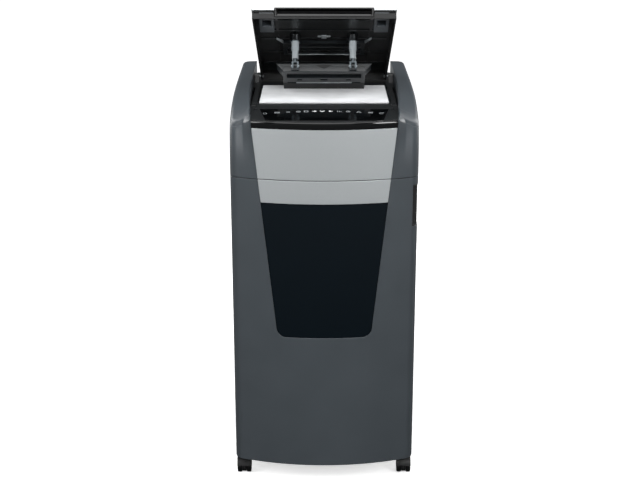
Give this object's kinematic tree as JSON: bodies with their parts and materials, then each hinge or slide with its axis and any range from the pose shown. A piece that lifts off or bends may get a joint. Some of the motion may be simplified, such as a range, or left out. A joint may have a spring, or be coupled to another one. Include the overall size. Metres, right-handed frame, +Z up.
{
  "type": "paper shredder",
  "caption": "Tall office paper shredder on casters: bowed front door with window over a waste bin, deep paper tray under a hinged lid with a sprung pressure plate.",
  "frame": {"origin": "on the floor under the middle of the cabinet's footprint", "axes": "+X to the right seen from the front, +Y to the back, +Z up"},
  "size_m": [0.42, 0.61, 1.0992],
  "materials": {
    "charcoal_abs": "fine-grained moulded ABS, dark charcoal",
    "silver_paint": "satin metallic silver paint",
    "gloss_black": "high-gloss black moulding",
    "tinted_window": "dark tinted polycarbonate, smooth",
    "dark_grey_abs": "fine-grained moulded ABS, near black",
    "black_nylon": "glass-filled nylon, matt",
    "bin_grey": "moulded polypropylene",
    "zinc_steel": "zinc-plated and rolled steel sheet",
    "ground_steel": "ground hardened steel",
    "chrome_tube": "polished chrome tube",
    "gear_acetal": "natural acetal",
    "roller_rubber": "soft feed rubber",
    "wheel_nylon": "semi-gloss moulded nylon",
    "board_green": "solder mask",
    "motor_steel": "black enamelled motor can"
  },
  "bodies": {
    "cabinet": {"base_pan": "black_nylon", "left_side_panel": "charcoal_abs", "right_side_panel": "charcoal_abs", "rear_panel": "charcoal_abs", "mechanism_shelf": "zinc_steel", "head_left_cover": "charcoal_abs", "head_right_cover": "charcoal_abs", "head_rear_cover": "charcoal_abs", "head_front_panel": "silver_paint", "front_lip": "gloss_black", "control_deck": "dark_grey_abs", "control_glass": "gloss_black", "tray_front_wall": "dark_grey_abs", "paper_tray": "dark_grey_abs", "tray_rails": "dark_grey_abs", "rear_deck": "dark_grey_abs", "mechanism_frame": "zinc_steel", "stripper_combs": "dark_grey_abs", "drive_motor": "motor_steel", "control_board": "board_green", "power_inlet": "black_nylon", "rear_screws": "zinc_steel"},
    "door": {"door_skin": "charcoal_abs", "door_silver_strip": "silver_paint", "door_window": "tinted_window", "door_inner_frame": "dark_grey_abs", "door_hinge_pins": "zinc_steel", "door_grip": "black_nylon"},
    "bin": {"waste_bin": "bin_grey", "bin_handle": "black_nylon"},
    "lid": {"lid_top_plate": "silver_paint", "lid_shell": "dark_grey_abs", "lid_grip": "gloss_black", "lid_corner_blocks": "charcoal_abs", "lid_hinge_pins": "zinc_steel", "strut_sockets": "chrome_tube", "plate_springs": "ground_steel"},
    "upper_sleeves": {"strut_upper_sleeves": "chrome_tube"},
    "lower_sleeves": {"strut_lower_sleeves": "chrome_tube"},
    "plate": {"pressure_plate": "charcoal_abs", "plate_rods": "chrome_tube", "clevis_pins": "chrome_tube"},
    "front_cutter": {"cutter_front": "ground_steel", "cutter_gear_front": "gear_acetal"},
    "rear_cutter": {"cutter_rear": "ground_steel", "cutter_gear_rear": "gear_acetal"},
    "idler": {"idler_gear": "gear_acetal"},
    "motor_rotor": {"motor_shaft": "ground_steel"},
    "front_rollers": {"feed_roller_front": "roller_rubber"},
    "rear_rollers": {"feed_roller_rear": "roller_rubber"},
    "full_flap": {"bin_full_flap": "dark_grey_abs"},
    "rocker": {"power_switch": "gloss_black"},
    "caster_fl": {"caster_fork_fl": "black_nylon"},
    "wheels_fl": {"caster_wheels_fl": "wheel_nylon"},
    "caster_fr": {"caster_fork_fr": "black_nylon"},
    "wheels_fr": {"caster_wheels_fr": "wheel_nylon"},
    "caster_rl": {"caster_fork_rl": "black_nylon"},
    "wheels_rl": {"caster_wheels_rl": "wheel_nylon"},
    "caster_rr": {"caster_fork_rr": "black_nylon"},
    "wheels_rr": {"caster_wheels_rr": "wheel_nylon"}
  },
  "joints": [
    {"name": "door_hinge", "type": "hinge", "parent": "cabinet", "child": "door", "pos_m": [-0.2015, -0.24724, 0.4], "axis": [0, 0, -1], "range_deg": [0, 110]},
    {"name": "bin_slide", "type": "slide", "parent": "cabinet", "child": "bin", "axis": [0, -1, 0], "range_m": [0, 0.17]},
    {"name": "lid_hinge", "type": "hinge", "parent": "cabinet", "child": "lid", "pos_m": [0, 0.172, 0.895], "axis": [1, 0, 0], "range_deg": [0, 35]},
    {"name": "plate_slide", "type": "slide", "parent": "lid", "child": "plate", "axis": [0, 0.5736, 0.8192], "range_m": [0, 0.04], "stiffness_N_per_m": 300, "deforming": ["plate_springs"]},
    {"name": "upper_sleeve_slide", "type": "slide", "parent": "lid", "child": "upper_sleeves", "axis": [0, 0.5736, 0.8192], "range_m": [0, 0.0136]},
    {"name": "lower_sleeve_slide", "type": "slide", "parent": "lid", "child": "lower_sleeves", "axis": [0, 0.5736, 0.8192], "range_m": [0, 0.033]},
    {"name": "front_cutter_spin", "type": "hinge", "parent": "cabinet", "child": "front_cutter", "pos_m": [0, -0.0405, 0.735], "axis": [1, 0, 0], "continuous": true},
    {"name": "rear_cutter_spin", "type": "hinge", "parent": "cabinet", "child": "rear_cutter", "pos_m": [0, 0.0045, 0.735], "axis": [1, 0, 0], "continuous": true},
    {"name": "idler_spin", "type": "hinge", "parent": "cabinet", "child": "idler", "pos_m": [0, 0.047, 0.735], "axis": [1, 0, 0], "continuous": true},
    {"name": "motor_spin", "type": "hinge", "parent": "cabinet", "child": "motor_rotor", "pos_m": [0, 0.103, 0.735], "axis": [1, 0, 0], "continuous": true},
    {"name": "front_roller_spin", "type": "hinge", "parent": "cabinet", "child": "front_rollers", "pos_m": [0, -0.046, 0.795], "axis": [1, 0, 0], "continuous": true},
    {"name": "rear_roller_spin", "type": "hinge", "parent": "cabinet", "child": "rear_rollers", "pos_m": [0, 0.01, 0.795], "axis": [1, 0, 0], "continuous": true},
    {"name": "full_flap_swing", "type": "hinge", "parent": "cabinet", "child": "full_flap", "pos_m": [0, -0.078, 0.665], "axis": [1, 0, 0], "range_deg": [-40, 40]},
    {"name": "power_rocker", "type": "hinge", "parent": "cabinet", "child": "rocker", "pos_m": [-0.16, 0.293, 0.118], "axis": [1, 0, 0], "range_deg": [-8, 8]},
    {"name": "swivel_fl", "type": "hinge", "parent": "cabinet", "child": "caster_fl", "pos_m": [-0.192, -0.20384, 0.07], "axis": [0, 0, 1], "continuous": true},
    {"name": "roll_fl", "type": "hinge", "parent": "caster_fl", "child": "wheels_fl", "pos_m": [-0.192, -0.22084, 0.022], "axis": [1, 0, 0], "continuous": true},
    {"name": "swivel_fr", "type": "hinge", "parent": "cabinet", "child": "caster_fr", "pos_m": [0.192, -0.20384, 0.07], "axis": [0, 0, 1], "continuous": true},
    {"name": "roll_fr", "type": "hinge", "parent": "caster_fr", "child": "wheels_fr", "pos_m": [0.192, -0.22084, 0.022], "axis": [1, 0, 0], "continuous": true},
    {"name": "swivel_rl", "type": "hinge", "parent": "cabinet", "child": "caster_rl", "pos_m": [-0.192, 0.265, 0.07], "axis": [0, 0, 1], "continuous": true},
    {"name": "roll_rl", "type": "hinge", "parent": "caster_rl", "child": "wheels_rl", "pos_m": [-0.192, 0.248, 0.022], "axis": [1, 0, 0], "continuous": true},
    {"name": "swivel_rr", "type": "hinge", "parent": "cabinet", "child": "caster_rr", "pos_m": [0.192, 0.265, 0.07], "axis": [0, 0, 1], "continuous": true},
    {"name": "roll_rr", "type": "hinge", "parent": "caster_rr", "child": "wheels_rr", "pos_m": [0.192, 0.248, 0.022], "axis": [1, 0, 0], "continuous": true}
  ],
  "couplings": [
    {"joint": "bin_slide", "follows": "door_hinge", "m_per_rad": 0.088},
    {"joint": "upper_sleeve_slide", "follows": "plate_slide", "ratio": 0.33333},
    {"joint": "lower_sleeve_slide", "follows": "plate_slide", "ratio": 0.82},
    {"joint": "rear_cutter_spin", "follows": "front_cutter_spin", "ratio": -1},
    {"joint": "idler_spin", "follows": "front_cutter_spin", "ratio": 1.125},
    {"joint": "motor_spin", "follows": "front_cutter_spin", "ratio": -4.125},
    {"joint": "rear_roller_spin", "follows": "front_roller_spin", "ratio": -1}
  ]
}
